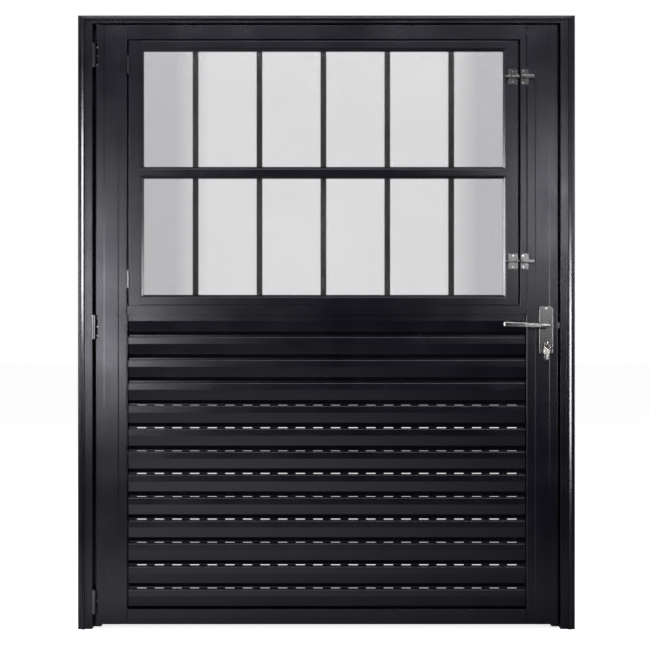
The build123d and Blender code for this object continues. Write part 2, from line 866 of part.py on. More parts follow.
def slat(index):
    """One folded slat: back lip, ledge, front lip, sloping face, undercut and tail."""
    ledge = middle_rail_bottom + first_ledge_hidden - index * slat_pitch
    fold = [
        (lip_back, ledge - slat_lip),
        (lip_back, ledge),
        (-slat_front, ledge - ledge_fall),
        (-slat_front, ledge - slat_face_end),
        (-slat_throat, ledge - slat_slope_end),
        (tail_front, ledge - slat_under_end),
        (tail_front, ledge - slat_pitch - slat_tail_lap),
    ]
    if index == 0:
        fold = [(-slat_front, middle_rail_bottom)] + fold[3:]
    with BuildPart() as sheet:
        with BuildSketch(Plane.YZ.offset(inner_left + slat_end_gap)):
            with BuildLine():
                FilletPolyline(*fold, radius=slat_bend)
                offset(amount=slat_wall, side=Side.LEFT)
            make_face()
        extrude(amount=inner_width - 2 * slat_end_gap)
        if first_vented <= index < slat_count - 1:
            row_sink = slot_sink * ((index - first_vented + 1) % 2)
            with Locations((slat_middle_x, fin_setback, ledge - slot_drop - row_sink)):
                with GridLocations(slot_pitch, 1, slot_count, 1):
                    Box(slot_length, 4 * slat_wall, slot_height, mode=Mode.SUBTRACT)
        if index == slat_count - 1:
            split(bisect_by=Plane.XY.offset(bottom_rail_top), keep=Keep.TOP)
    return sheet.part


all_slats = [slat(index) for index in range(slat_count)]
with BuildPart() as plain_slats:
    add(all_slats[:first_vented] + all_slats[-1:])
plain_slats.part.label = "plain_slats"
export_step(plain_slats.part, "parts/plain_slats.step")

with BuildPart() as vented_slats:
    add(all_slats[first_vented:-1])
vented_slats.part.label = "vented_slats"
export_step(vented_slats.part, "parts/vented_slats.step")

# Grille bars behind the vent, fixed to the fins of the rails
vent_middle = (vent_left + vent_right) / 2
with BuildPart() as grille_bars:
    with BuildSketch(Plane.XY.offset(middle_rail_top)):
        with Locations((vent_middle, fin_back + bar_thickness / 2)):
            with GridLocations(bar_pitch, 1, bar_count, 1):
                RectangleRounded(bar_width, bar_thickness, bar_round)
    extrude(amount=opening_height)
grille_bars.part.label = "grille_bars"
export_step(grille_bars.part, "parts/grille_bars.step")

# Vent hinges: the fixed leaf lies on the stile, the moving leaf on the vent's edge
for place, height in vent_hinge_heights.items():
    with BuildPart() as fixed_leaf:
        add(
            hinge_leaf(
                vent_axis, height, vent_hinge_length, 3, (0, 2), vent_hinge_barrel_radius,
                vent_hinge_pin_radius, (inner_left, fixed_plate_face), vent_plate_y,
            )
        )
        screw_holes(fixed_vent_screws, small=True)
    fixed_leaf.part.label = f"vent_hinge_{place}_door_leaf"
    export_step(fixed_leaf.part, f"parts/vent_hinge_{place}_door_leaf.step")
    with BuildPart() as moving_leaf:
        add(
            hinge_leaf(
                vent_axis, height, vent_hinge_length, 3, (1,), vent_hinge_barrel_radius,
                vent_hinge_pin_radius, (moving_plate_face, vent_left), vent_plate_y,
            )
        )
        screw_holes(moving_vent_screws, small=True)
    moving_leaf.part.label = f"vent_hinge_{place}_vent_leaf"
    export_step(moving_leaf.part, f"parts/vent_hinge_{place}_vent_leaf.step")

with BuildPart() as vent_hinge_pins:
    for height in vent_hinge_heights.values():
        hinge_pin(vent_axis, height, vent_hinge_length, vent_hinge_barrel_radius, vent_hinge_pin_radius)
vent_hinge_pins.part.label = "vent_hinge_pins"
export_step(vent_hinge_pins.part, "parts/vent_hinge_pins.step")

# Vent stiles, rails and bar, each a hollow tube with a lip behind the glass
lip_depth = (glass_back, glass_back + lip_thickness)


def tube(low, high):
    """Outline and hollow of a vent tube, as points (across, depth) between two places across it."""
    outline = [(low, leaf_front), (high, leaf_front), (high, vent_back), (low, vent_back)]
    hollow = [
        (low + vent_wall, leaf_front + vent_wall),
        (high - vent_wall, leaf_front + vent_wall),
        (high - vent_wall, vent_back - vent_wall),
        (low + vent_wall, vent_back - vent_wall),
    ]
    rounds = [((low, leaf_front, 0), vent_round), ((high, leaf_front, 0), vent_round)]
    return outline, hollow, rounds


def vent_upright(low, high, lip_x):
    outline, hollow, rounds = tube(low, high)
    with BuildPart() as member:
        add(bar(Plane.XY.offset(vent_bottom), outline, vent_top - vent_bottom, hollow, rounds))
        for pane in (lower_pane, upper_pane):
            block(lip_x, lip_depth, pane)
    return member.part


def vent_level(low, high, lips):
    """A vent member between the uprights. lips are the heights between which a lip stands."""
    outline, hollow, _ = tube(low, high)
    outline = [(depth, across) for across, depth in outline]
    hollow = [(depth, across) for across, depth in hollow]
    rounds = [((leaf_front, low, 0), vent_round), ((leaf_front, high, 0), vent_round)]
    with BuildPart() as member:
        add(bar(Plane.YZ.offset(pane_left), outline, pane_right - pane_left, hollow, rounds))
        for lip in lips:
            block((pane_left + lip_stile, pane_right - lip_stile), lip_depth, lip)
    return member.part


with BuildPart() as vent_stile_hinge_side:
    add(vent_upright(vent_left, pane_left, (pane_left, pane_left + lip_stile)))
    screw_holes(moving_vent_screws, small=True)
vent_stile_hinge_side.part.label = "vent_stile_hinge_side"
export_step(vent_stile_hinge_side.part, "parts/vent_stile_hinge_side.step")

with BuildPart() as vent_stile_bolt_side:
    add(vent_upright(pane_right, vent_right, (pane_right - lip_stile, pane_right)))
    screw_holes(guide_screws, small=True)
vent_stile_bolt_side.part.label = "vent_stile_bolt_side"
export_step(vent_stile_bolt_side.part, "parts/vent_stile_bolt_side.step")

vent_members = {
    "vent_rail_top": (upper_pane[1], vent_top, [(upper_pane[1] - lip_rail, upper_pane[1])]),
    "vent_rail_middle": (bar_low, bar_high, [(bar_low - lip_rail, bar_low), (bar_high, bar_high + lip_rail)]),
    "vent_rail_bottom": (vent_bottom, lower_pane[0], [(lower_pane[0], lower_pane[0] + lip_rail)]),
}
for name, (low, high, lips) in vent_members.items():
    with BuildPart() as member:
        add(vent_level(low, high, lips))
    member.part.label = name
    export_step(member.part, f"parts/{name}.step")

for name, pane in (("glass_lower", lower_pane), ("glass_upper", upper_pane)):
    with BuildPart() as glass:
        block(
            (pane_left + glass_play, pane_right - glass_play),
            (-glass_front, glass_back),
            (pane[0] + glass_play, pane[1] - glass_play),
        )
    glass.part.label = name
    export_step(glass.part, f"parts/{name}.step")


# Glazing beads: four bevelled strips to a pane, mitred at the corners
def bead_section(start, inward, width):
    """Points (across, depth) of a bead from the tube's side inwards."""
    return [
        (start, -glass_front),
        (start, -glass_front - bead_depth),
        (start + inward * bead_flat * width, -glass_front - bead_depth),
        (start + inward * width, -glass_front - bead_edge),
        (start + inward * width, -glass_front),
    ]


def bead_corner(side, end, pane, shift):
    """The mitre at one corner of a pane, moved along the upright by shift."""
    x = pane_left if side < 0 else pane_right
    z = pane[0] if end < 0 else pane[1]
    return Plane(origin=(x, 0, z + end * shift), z_dir=(-side * end * lip_rail, 0, lip_stile))


def upright_bead(side, pane):
    start, inward = (pane_left, 1) if side < 0 else (pane_right, -1)
    strip = bar(Plane.XY.offset(pane[0]), bead_section(start, inward, lip_stile), pane[1] - pane[0])
    strip = split(strip, bisect_by=bead_corner(side, -1, pane, -mitre_gap), keep=Keep.TOP)
    return split(strip, bisect_by=bead_corner(side, 1, pane, -mitre_gap), keep=Keep.BOTTOM)


def level_bead(end, pane):
    start, inward = (pane[0], 1) if end < 0 else (pane[1], -1)
    outline = [(depth, across) for across, depth in bead_section(start, inward, lip_rail)]
    strip = bar(Plane.YZ.offset(pane_left), outline, pane_right - pane_left)
    kept = Keep.BOTTOM if end < 0 else Keep.TOP
    for side in (-1, 1):
        strip = split(strip, bisect_by=bead_corner(side, end, pane, mitre_gap), keep=kept)
    return strip


beads = []
for pane in (lower_pane, upper_pane):
    beads += [upright_bead(-1, pane), upright_bead(1, pane), level_bead(-1, pane), level_bead(1, pane)]
with BuildPart() as glazing_beads:
    add(beads)
glazing_beads.part.label = "glazing_beads"
export_step(glazing_beads.part, "parts/glazing_beads.step")

with BuildPart() as vent_screws:
    screws(moving_vent_screws + guide_screws, small=True)
vent_screws.part.label = "vent_screws"
export_step(vent_screws.part, "parts/vent_screws.step")

# Sliding bolts: guide on the vent, rod with its knob, keeper on the closing strip
loop_outline_front = leaf_front - loop_proud
rod_tip = vent_right + rod_rest_tip
rod_tail = rod_tip - rod_length
knob_x = guide_left + guide_loop + knob_radius + knob_gap


def rounded_plate(left, right, middle, height, front, back, corner):
    """A flat plate facing the room, with rounded corners."""
    with BuildSketch(Plane.XZ.offset(-back)) as outline:
        with Locations(((left + right) / 2, middle)):
            RectangleRounded(right - left, height, corner)
    extrude(outline.sketch, amount=back - front)


def saddle(left, right, middle):
    """A rounded bridge over the rod, between two places along it."""
    with BuildSketch(Plane.YZ.offset(left)) as outline:
        with Locations(((loop_outline_front + guide_front) / 2, middle)):
            Rectangle(guide_front - loop_outline_front, loop_height)
    extrude(outline.sketch, amount=right - left)


for place, height in slide_heights.items():
    with BuildPart() as guide:
        rounded_plate(guide_left, guide_right, height, guide_height, guide_front, leaf_front, guide_corner)
        saddle(guide_left, guide_left + guide_loop, height)
        saddle(guide_right - guide_loop, guide_right, height)
        fillet(guide.edges().filter_by(Axis.X).group_by(Axis.Y)[0], radius=loop_round)
        with Locations((guide_middle, bolt_axis_y, height)):
            Cylinder(rod_radius + rod_play, guide_width + 2, rotation=(0, 90, 0), mode=Mode.SUBTRACT)
        screw_holes(guide_screws, small=True)
    guide.part.label = f"bolt_guide_{place}"
    export_step(guide.part, f"parts/bolt_guide_{place}.step")

    with BuildPart() as keeper:
        rounded_plate(keeper_left, keeper_right, height, guide_height, guide_front, leaf_front, guide_corner)
        tunnel_left = strip_left + tunnel_start
        saddle(tunnel_left, tunnel_left + tunnel_length, height)
        block(
            (keeper_right, tunnel_left + tunnel_length),
            (guide_front, leaf_front),
            (height - loop_height / 2, height + loop_height / 2),
        )
        fillet(keeper.edges().filter_by(Axis.X).group_by(Axis.Y)[0], radius=loop_round)
        with Locations((tunnel_left + tunnel_bore / 2, bolt_axis_y, height)):
            Cylinder(rod_radius + rod_play, tunnel_bore, rotation=(0, 90, 0), mode=Mode.SUBTRACT)
        screw_holes(keeper_screws, small=True)
    keeper.part.label = f"keeper_{place}"
    export_step(keeper.part, f"parts/keeper_{place}.step")

    with BuildPart() as rod:
        with Locations(((rod_tip + rod_tail) / 2, bolt_axis_y, height)):
            Cylinder(rod_radius, rod_length, rotation=(0, 90, 0))
        chamfer(rod.faces().sort_by(Axis.X)[-1].edges(), length=rod_chamfer)
        with BuildSketch(Plane.XZ.offset(-bolt_axis_y)):
            with Locations((knob_x, height)):
                Circle(knob_radius)
        extrude(amount=knob_height)
    rod.part.label = f"bolt_rod_{place}"
    export_step(rod.part, f"parts/bolt_rod_{place}.step")

# Lock: case, faceplate, cylinder, plug, latch and dead bolt
with BuildPart() as lock_case:
    block(
        (case_left, case_right),
        (-case_thickness / 2, case_thickness / 2),
        (case_low, case_low + case_height),
    )
    offset(amount=-case_wall, openings=lock_case.faces().sort_by(Axis.X)[-1])
    euro_hole((-case_thickness / 2 - 1, case_thickness / 2 + 1), fit_play)
    with Locations((lever_x, 0, lever_height)):
        Cylinder(neck_radius, case_thickness + 2, rotation=(90, 0, 0), mode=Mode.SUBTRACT)
lock_case.part.label = "lock_case"
export_step(lock_case.part, "parts/lock_case.step")

bolt_half = bolt_thickness / 2
latch_span = (lever_height - latch_height / 2, lever_height + latch_height / 2)
dead_bolt_span = (
    dead_bolt_height_middle - dead_bolt_height / 2,
    dead_bolt_height_middle + dead_bolt_height / 2,
)
with BuildPart() as lock_faceplate:
    with BuildSketch(Plane.YZ.offset(case_right)):
        with Locations((0, faceplate_middle)):
            SlotOverall(faceplate_height, faceplate_width, rotation=90)
    extrude(amount=faceplate_thickness)
    for span in (latch_span, dead_bolt_span):
        block(
            (case_right - 1, leaf_right + 1),
            (-bolt_half - fit_play, bolt_half + fit_play),
            (span[0] - fit_play, span[1] + fit_play),
            mode=Mode.SUBTRACT,
        )
    screw_holes(edge_screws, small=True)
lock_faceplate.part.label = "lock_faceplate"
export_step(lock_faceplate.part, "parts/lock_faceplate.step")

latch_tip = leaf_right + latch_reach
with BuildPart() as latch_bolt:
    block((latch_tip - latch_length, latch_tip), (-bolt_half, bolt_half), latch_span)
    nose = latch_bolt.edges().filter_by(Axis.Z).group_by(Axis.X)[-1].sort_by(Axis.Y)[-1]
    chamfer(nose, length=latch_reach - 1)
latch_bolt.part.label = "latch_bolt"
export_step(latch_bolt.part, "parts/latch_bolt.step")

with BuildPart() as dead_bolt:
    block((leaf_right - dead_bolt_length, leaf_right), (-bolt_half, bolt_half), dead_bolt_span)
    chamfer(dead_bolt.faces().sort_by(Axis.X)[-1].edges(), length=dead_bolt_chamfer)
dead_bolt.part.label = "dead_bolt"
export_step(dead_bolt.part, "parts/dead_bolt.step")

with BuildPart() as cylinder_body:
    with BuildSketch(Plane.XZ.offset(cylinder_front)):
        euro_outline(0)
    extrude(amount=-2 * cylinder_front)
    with Locations((lever_x, 0, cylinder_height)):
        Cylinder(
            plug_radius + pin_clearance, -2 * cylinder_front + 2, rotation=(90, 0, 0), mode=Mode.SUBTRACT,
        )
cylinder_body.part.label = "cylinder_body"
export_step(cylinder_body.part, "parts/cylinder_body.step")

with BuildPart() as cylinder_plug:
    with Locations((lever_x, 0, cylinder_height)):
        Cylinder(plug_radius, -2 * cylinder_front, rotation=(90, 0, 0))
    for end in (-1, 1):
        face = -end * cylinder_front
        block(
            (lever_x - keyway_width / 2, lever_x + keyway_width / 2),
            sorted((face, face - end * keyway_depth)),
            (cylinder_height - keyway_height / 2, cylinder_height + keyway_height / 2),
            mode=Mode.SUBTRACT,
        )
cylinder_plug.part.label = "cylinder_plug"
export_step(cylinder_plug.part, "parts/cylinder_plug.step")

with BuildPart() as escutcheon_inside:
    rounded_plate(
        lever_x - plate_width / 2, lever_x + plate_width / 2, (escutcheon_low + escutcheon_high) / 2,
        escutcheon_high - escutcheon_low, escutcheon_front, leaf_front, plate_corner,
    )
    fillet(escutcheon_inside.faces().sort_by(Axis.Y)[0].edges(), radius=plate_round)
    with Locations((lever_x, escutcheon_front - collar_height / 2, lever_height)):
        Cylinder(collar_radius, collar_height, rotation=(90, 0, 0))
    with Locations((lever_x, leaf_front, lever_height)):
        Cylinder(neck_radius + neck_play, 4 * plate_thickness, rotation=(90, 0, 0), mode=Mode.SUBTRACT)
    euro_hole((escutcheon_front - 1, leaf_front + 1), fit_play)
    screw_holes(escutcheon_screws)
escutcheon_inside.part.label = "escutcheon_inside"
export_step(escutcheon_inside.part, "parts/escutcheon_inside.step")

with BuildPart() as escutcheon_outside:
    mirror(escutcheon_inside.part, about=Plane.XZ)
escutcheon_outside.part.label = "escutcheon_outside"
export_step(escutcheon_outside.part, "parts/escutcheon_outside.step")

with BuildPart() as leaf_screws:
    screws(door_hinge_screws + escutcheon_screws + outside_screws)
    screws(fixed_vent_screws + keeper_screws + edge_screws, small=True)
leaf_screws.part.label = "leaf_screws"
export_step(leaf_screws.part, "parts/leaf_screws.step")

# Levers: a gently bowed arm on a neck, joined by a square spindle
arm_back = escutcheon_front - arm_gap
arm_axis_y = arm_back - arm_depth / 2
arm_plane = Plane(
    origin=(lever_x, 0, lever_height),
    x_dir=(-arm_length, 0, arm_rise),
    z_dir=(arm_rise, 0, arm_length),
)
root_line = Plane(
    origin=(lever_x, arm_axis_y, lever_height),
    z_dir=(-arm_length, -root_lean, arm_rise),
)
with BuildPart() as lever_inside:
    with BuildSketch(arm_plane):
        with BuildLine(mode=Mode.PRIVATE):
            arm_curve = ThreePointArc(
                (0, -arm_axis_y),
                (arm_length / 2, arm_bow - arm_axis_y),
                (arm_length - arm_depth / 2, -arm_axis_y),
            )
        SlotArc(arm_curve, arm_depth)
    extrude(amount=arm_height / 2, both=True)
    up = Axis((0, 0, 0), (arm_rise, 0, arm_length))
    arm_faces = lever_inside.faces().sort_by(up)
    fillet(arm_faces[0].edges() + arm_faces[-1].edges(), radius=arm_round)
    along_root = (Align.CENTER, Align.CENTER, Align.MIN)
    with Locations(root_line.offset(-root_back)):
        Cylinder(root_radius, root_back + root_length, align=along_root)
    with Locations(root_line.offset(root_length)):
        Cone(root_radius, root_end, root_taper, align=along_root)
    with BuildSketch(Plane.XZ.offset(-leaf_front)):
        with Locations((lever_x, lever_height)):
            Circle(neck_radius)
    extrude(amount=leaf_front - arm_axis_y)
    block(
        (lever_x - spindle_size / 2 - spindle_play, lever_x + spindle_size / 2 + spindle_play),
        (-spindle_length / 2 - spindle_play, leaf_front + 1),
        (lever_height - spindle_size / 2 - spindle_play, lever_height + spindle_size / 2 + spindle_play),
        mode=Mode.SUBTRACT,
    )
lever_inside.part.label = "lever_inside"
export_step(lever_inside.part, "parts/lever_inside.step")

with BuildPart() as lever_outside:
    mirror(lever_inside.part, about=Plane.XZ)
lever_outside.part.label = "lever_outside"
export_step(lever_outside.part, "parts/lever_outside.step")

with BuildPart() as spindle:
    with Locations((lever_x, 0, lever_height)):
        Box(spindle_size, spindle_length, spindle_size)
spindle.part.label = "spindle"
export_step(spindle.part, "parts/spindle.step")


# Key, ring and spare key. A key lies in its plane, with its blade along the plane's x axis.
def key_shape(plane, blade):
    with BuildSketch(plane) as outline:
        Circle(key_bow_radius)
        Rectangle(key_bow_radius + blade, key_blade_width, align=(Align.MIN, Align.CENTER))
        with Locations((key_hole_margin - key_bow_radius, 0)):
            Circle(key_hole_radius, mode=Mode.SUBTRACT)
        first_cut = key_bow_radius + blade - key_tip
        cuts = [(first_cut - n * key_cut_pitch, key_blade_width / 2) for n in range(key_cut_count)]
        with Locations(*cuts):
            Rectangle(key_cut_width, 2 * key_cut_depth, mode=Mode.SUBTRACT)
    extrude(outline.sketch, amount=key_thickness / 2, both=True)


bow_y = cylinder_front - key_bow_gap - key_bow_radius
hole_y = bow_y - key_bow_radius + key_hole_margin
with BuildPart() as key:
    key_shape(
        Plane(origin=(lever_x, bow_y, cylinder_height), x_dir=(0, 1, 0), z_dir=(1, 0, 0)),
        key_bow_gap + key_blade_inside,
    )
key.part.label = "key"
export_step(key.part, "parts/key.step")

ring_height = cylinder_height - ring_rest - ring_radius
with BuildPart() as key_ring:
    with Locations((lever_x, hole_y, ring_height)):
        Torus(ring_radius, ring_wire, rotation=(90, 0, 0))
key_ring.part.label = "key_ring"
export_step(key_ring.part, "parts/key_ring.step")

spare_hole_height = ring_height - ring_radius - ring_rest
spare_bow_height = spare_hole_height + key_hole_margin - key_bow_radius
spare_facing = Vector(1, 0, 0).rotate(Axis.Z, spare_turn)
with BuildPart() as spare_key:
    key_shape(
        Plane(origin=(lever_x, hole_y, spare_bow_height), x_dir=(0, 0, -1), z_dir=spare_facing),
        spare_blade,
    )
spare_key.part.label = "spare_key"
export_step(spare_key.part, "parts/spare_key.step")
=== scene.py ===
import json
import math

import bpy
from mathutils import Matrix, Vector


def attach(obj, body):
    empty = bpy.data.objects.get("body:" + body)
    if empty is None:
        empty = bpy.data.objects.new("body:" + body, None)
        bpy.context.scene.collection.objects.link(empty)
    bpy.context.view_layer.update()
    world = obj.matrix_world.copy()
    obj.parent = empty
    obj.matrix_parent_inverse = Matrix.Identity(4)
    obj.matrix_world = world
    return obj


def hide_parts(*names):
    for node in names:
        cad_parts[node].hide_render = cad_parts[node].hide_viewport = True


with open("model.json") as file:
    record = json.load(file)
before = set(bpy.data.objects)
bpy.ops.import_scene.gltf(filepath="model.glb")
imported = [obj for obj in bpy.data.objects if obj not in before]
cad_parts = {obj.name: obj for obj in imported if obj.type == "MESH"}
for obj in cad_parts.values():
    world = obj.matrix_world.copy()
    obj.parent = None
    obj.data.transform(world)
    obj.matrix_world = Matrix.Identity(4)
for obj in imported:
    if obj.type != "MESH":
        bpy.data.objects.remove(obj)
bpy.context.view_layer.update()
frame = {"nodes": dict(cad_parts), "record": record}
nodes = frame["nodes"]
print("frame loaded")


class Wire:
    # a shader output that adds its own Math nodes when Python does sums with it
    def __init__(self, finish, socket):
        self.finish = finish
        self.socket = socket

    def sum(self, operation, first, second=0.0):
        return self.finish.node("ShaderNodeMath", {"operation": operation}, {0: first, 1: second})

    def __add__(self, other):
        return self.sum("ADD", self, other)

    def __radd__(self, other):
        return self.sum("ADD", other, self)

    def __sub__(self, other):
        return self.sum("SUBTRACT", self, other)

    def __rsub__(self, other):
        return self.sum("SUBTRACT", other, self)

    def __mul__(self, other):
        return self.sum("MULTIPLY", self, other)

    def __rmul__(self, other):
        return self.sum("MULTIPLY", other, self)

    def __abs__(self):
        return self.sum("ABSOLUTE", self)

    def wave(self):
        return self.sum("SINE", self)

    def larger(self, other):
        return self.sum("MAXIMUM", self, other)


class Finish:
    # the nodes of one material, or of the world
    def __init__(self, owner):
        self.owner = owner
        owner.use_nodes = True
        self.tree = owner.node_tree
        self.tree.nodes.clear()

    def node(self, kind, settings, inputs, out=0):
        made = self.tree.nodes.new(kind)
        for setting, value in settings.items():
            setattr(made, setting, value)
        for name, value in inputs.items():
            if isinstance(value, Wire):
                self.tree.links.new(value.socket, made.inputs[name])
            else:
                made.inputs[name].default_value = value
        return Wire(self, made.outputs[out]) if made.outputs else None

    def place(self, stretch=(1, 1, 1)):
        where = self.node("ShaderNodeTexCoord", {}, {}, "Object")
        return self.node("ShaderNodeMapping", {}, {"Vector": where, "Scale": stretch})

    def part(self, vector, axis):
        # axis is "X", "Y" or "Z"
        return self.node("ShaderNodeSeparateXYZ", {}, {"Vector": vector}, axis)

    def noise(self, scale, detail, stretch=(1, 1, 1)):
        spot = self.place(stretch)
        return self.node("ShaderNodeTexNoise", {}, {"Vector": spot, "Scale": scale, "Detail": detail})

    def cells(self, scale):
        return self.node("ShaderNodeTexVoronoi", {}, {"Vector": self.place(), "Scale": scale})

    def span(self, value, low, high, toLow=0.0, toHigh=1.0):
        limits = {"From Min": low, "From Max": high, "To Min": toLow, "To Max": toHigh}
        return self.node("ShaderNodeMapRange", {}, {"Value": value, **limits})

    def mix(self, factor, first, second):
        # a colour is a wire or three numbers; its sockets are 6 and 7, and output 2 is their blend
        first, second = [shade if isinstance(shade, Wire) else (*shade, 1) for shade in (first, second)]
        return self.node("ShaderNodeMix", {"data_type": "RGBA"}, {0: factor, 6: first, 7: second}, 2)

    def bump(self, height, strength, distance):
        return self.node("ShaderNodeBump", {}, {"Strength": strength, "Distance": distance, "Height": height})

    def close(self, shader, kind="ShaderNodeOutputMaterial"):
        self.node(kind, {}, {"Surface": shader})
        return self.owner


def newFinish(name):
    return Finish(bpy.data.materials.new(name))


# finishes: "contrast" is the range of a finish's mottling over which it changes,
# and "gloss" is the roughness at both ends of that range

paintCoat = {
    "cloud": (7, 4.0),  # scale and detail of the broad mottling, and of the fine
    "dust": (160, 6.0),
    "cloudShare": 0.7,
    "dustShare": 0.3,
    "contrast": (0.35, 0.65),
    "peelDetail": 2.0,
    "peelDepth": 0.0003,
}

blackPaint = {
    "deep": (0.0012, 0.0009, 0.0028),
    "pale": (0.0024, 0.0019, 0.0046),
    "sheen": (0.93, 0.915, 1.0, 1),  # the coat's reflections are faintly violet
    "gloss": (0.21, 0.28),
    "shine": 0.5,
    "peelScale": 900,
    "peel": 0.05,
}

hingePaint = {
    "deep": (0.008, 0.0076, 0.0092),
    "pale": (0.030, 0.0290, 0.032),
    "sheen": (0.95, 0.94, 1.0, 1),
    "gloss": (0.10, 0.20),
    "shine": 1.0,
    "peelScale": 1300,
    "peel": 0.08,
}


def paintedFinish(name, look):
    paint = newFinish(name)
    cloud = paint.noise(*paintCoat["cloud"])
    dust = paint.noise(*paintCoat["dust"])
    peel = paint.noise(look["peelScale"], paintCoat["peelDetail"])
    mottle = cloud * paintCoat["cloudShare"] + dust * paintCoat["dustShare"]
    tone = paint.span(mottle, *paintCoat["contrast"])
    shader = paint.node("ShaderNodeBsdfPrincipled", {}, {
        "Base Color": paint.mix(tone, look["deep"], look["pale"]),
        "Roughness": paint.span(mottle, *paintCoat["contrast"], *look["gloss"]),
        "Specular IOR Level": look["shine"],
        "Specular Tint": look["sheen"],
        "Normal": paint.bump(peel, look["peel"], paintCoat["peelDepth"]),
    })
    return paint.close(shader)


metalSkin = {
    "lineDetail": 3.0,
    "stain": (60, 3.0),
    "lineShare": 0.65,
    "stainShare": 0.35,
    "contrast": (0.3, 0.7),
    "lineDepth": 0.0001,
}

satinSteel = {
    "dark": (0.125, 0.1245, 0.125),
    "light": (0.175, 0.1742, 0.1742),
    "gloss": (0.21, 0.26),
    "lines": (240, 240, 5),  # brushed along Z
    "relief": 0.008,
}

# painted sheen: the satin steel again, lighter in colour for the levers
litLeverSteel = {
    "dark": (0.30, 0.298, 0.298),
    "light": (0.40, 0.398, 0.397),
    "gloss": (0.20, 0.25),
    "lines": (5, 240, 240),  # polished along the arm
    "relief": 0.008,
}

zincPlate = {
    "dark": (0.28, 0.281, 0.287),
    "light": (0.62, 0.62, 0.628),
    "gloss": (0.16, 0.30),
    "lines": (260, 260, 260),
    "relief": 0.05,
}

nickelPlate = {
    "dark": (0.26, 0.252, 0.238),
    "light": (0.66, 0.645, 0.61),
    "gloss": (0.10, 0.24),
    "lines": (260, 260, 900),
    "relief": 0.06,
}


def metalFinish(name, look):
    metal = newFinish(name)
    lines = metal.noise(1.0, metalSkin["lineDetail"], look["lines"])
    stain = metal.noise(*metalSkin["stain"])
    wear = lines * metalSkin["lineShare"] + stain * metalSkin["stainShare"]
    tone = metal.span(wear, *metalSkin["contrast"])
    shader = metal.node("ShaderNodeBsdfPrincipled", {}, {
        "Base Color": metal.mix(tone, look["dark"], look["light"]),
        "Metallic": 1.0,
        "Roughness": metal.span(wear, *metalSkin["contrast"], *look["gloss"]),
        "Normal": metal.bump(lines, look["relief"], metalSkin["lineDepth"]),
    })
    return metal.close(shader)


frosted = {
    "tint": (0.73, 0.73, 0.741),
    "milky": (0.68, 0.68, 0.693),
    "side": (0.49, 0.49, 0.502),  # painted shade: the panes' colour darkens to this towards their ends
    "sideShadeReach": (0.40, 0.52),  # how far from the middle that starts, and how far it is full
    "cloud": (5, 3.0),
    "contrast": (0.35, 0.65),
    "gloss": (0.10, 0.16),
    "clear": 0.985,
    "ior": 1.3,
    "pitch": 0.0035,  # from one small pyramid of the pattern to the next
    "cellScale": 620,
    "cellShare": 0.25,
    "relief": 0.00012,
}


def glassFinish(name, look):
    glass = newFinish(name)
    cells = glass.cells(look["cellScale"])
    cloud = glass.noise(*look["cloud"])
    where = glass.place()
    turn = 2 * math.pi / look["pitch"]
    waves = [(glass.part(where, axis) * turn).wave() for axis in ("X", "Z")]
    pattern = waves[0] * waves[1] + look["cellShare"] * cells
    # painted shade: the panes' base colour darkens towards their ends
    paintedSideShade = glass.span(abs(glass.part(where, "X")), *look["sideShadeReach"])
    body = glass.mix(cloud, look["tint"], look["milky"])
    shader = glass.node("ShaderNodeBsdfPrincipled", {}, {
        "Base Color": glass.mix(paintedSideShade, body, look["side"]),
        "Roughness": glass.span(cloud, *look["contrast"], *look["gloss"]),
        "Transmission Weight": look["clear"],
        "IOR": look["ior"],
        "Normal": glass.bump(pattern, 1.0, look["relief"]),
    })
    return glass.close(shader)


pile = {
    "root": (0.010, 0.010, 0.011),
    "tip": (0.045, 0.044, 0.047),
    "strands": (5000, 900, 5000),  # drawn out along Y, as the tufts are
    "detail": 2.0,
    "contrast": (0.3, 0.7),
    "gloss": (0.75, 0.95),
    "sheen": 0.3,
    "relief": 0.3,
    "depth": 0.0002,
}


def pileFinish(name, look):
    fibre = newFinish(name)
    streak = fibre.noise(1.0, look["detail"], look["strands"])
    shader = fibre.node("ShaderNodeBsdfPrincipled", {}, {
        "Base Color": fibre.mix(streak, look["root"], look["tip"]),
        "Roughness": fibre.span(streak, *look["contrast"], *look["gloss"]),
        "Sheen Weight": look["sheen"],
        "Normal": fibre.bump(streak, look["relief"], look["depth"]),
    })
    return fibre.close(shader)


finishes = {
    "black_paint": paintedFinish("satinBlackPaint", blackPaint),
    "frosted_glass": glassFinish("frostedGlass", frosted),
    "brush_pile": pileFinish("brushPile", pile),
    "hinge_steel": paintedFinish("hingeBlack", hingePaint),
    "satin_steel": metalFinish("satinSteel", satinSteel),
    "zinc_steel": metalFinish("zincPlatedSteel", zincPlate),
    "nickel": metalFinish("brightNickel", nickelPlate),
}
levers = ("lever_inside", "lever_outside")
litLeverFinish = metalFinish("litLeverSteel", litLeverSteel)  # painted sheen: the same steel in a lighter colour
slotOf = {part["node"]: part["material_slot"] for part in frame["record"]["subparts"]}
for name, node in nodes.items():
    node.data.materials.clear()
    node.data.materials.append(litLeverFinish if name in levers else finishes[slotOf[name]])
print("finishes made")


# modelling helpers

weld = 0.00001  # points of a CAD mesh this near are one
flatWithin = 0.5  # degrees within which its triangles are one flat face
almost = 0.9  # share of a piece's thickness past which only its far end lies


def pick(*things):
    bpy.ops.object.select_all(action="DESELECT")
    for thing in things:
        thing.select_set(True)
    bpy.context.view_layer.objects.active = things[0]


def startWith(primitive, **settings):
    # a primitive to shape, with nothing else selected
    bpy.ops.object.select_all(action="DESELECT")
    primitive(**settings)
    return bpy.context.object


def copyOf(mesh, name):
    piece = bpy.data.objects.new(name, mesh.copy())
    bpy.context.scene.collection.objects.link(piece)
    return piece


def fixPlace(piece):
    # puts a piece's place, turn and scale into its mesh
    pick(piece)
    bpy.ops.object.transform_apply(location=True, rotation=True, scale=True)


